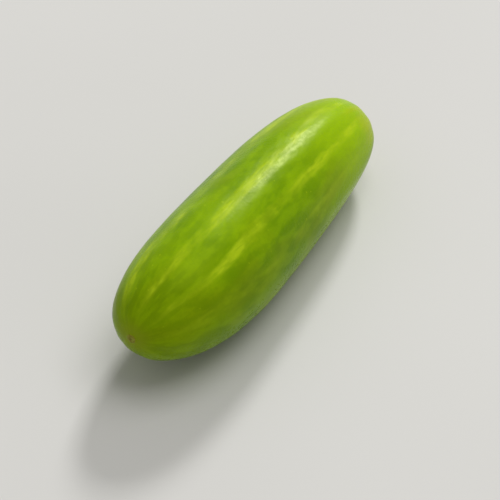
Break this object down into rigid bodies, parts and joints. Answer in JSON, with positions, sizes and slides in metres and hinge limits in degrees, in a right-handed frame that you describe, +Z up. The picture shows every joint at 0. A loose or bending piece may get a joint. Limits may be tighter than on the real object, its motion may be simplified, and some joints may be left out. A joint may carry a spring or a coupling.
{
  "type": "ivy gourd",
  "caption": "Small oblong green gourd, a fresh fruit eaten as a vegetable, with faint lengthwise ribs, pale broken streaks and a small scar at each end, lying on its side",
  "frame": {"origin": "on the floor, under the middle of the fruit's bounding box as it lies at rest on its side", "axes": "+X runs along the fruit from the blossom end to the stem end, which lies about 3 degrees lower; +Z is up, away from the flat spot that it rests on; +Y completes a right-handed frame"},
  "size_m": [0.058, 0.019, 0.0185],
  "materials": {
    "gourd_skin": "satin"
  },
  "bodies": {
    "root": {"gourd": "gourd_skin"}
  },
  "joints": []
}
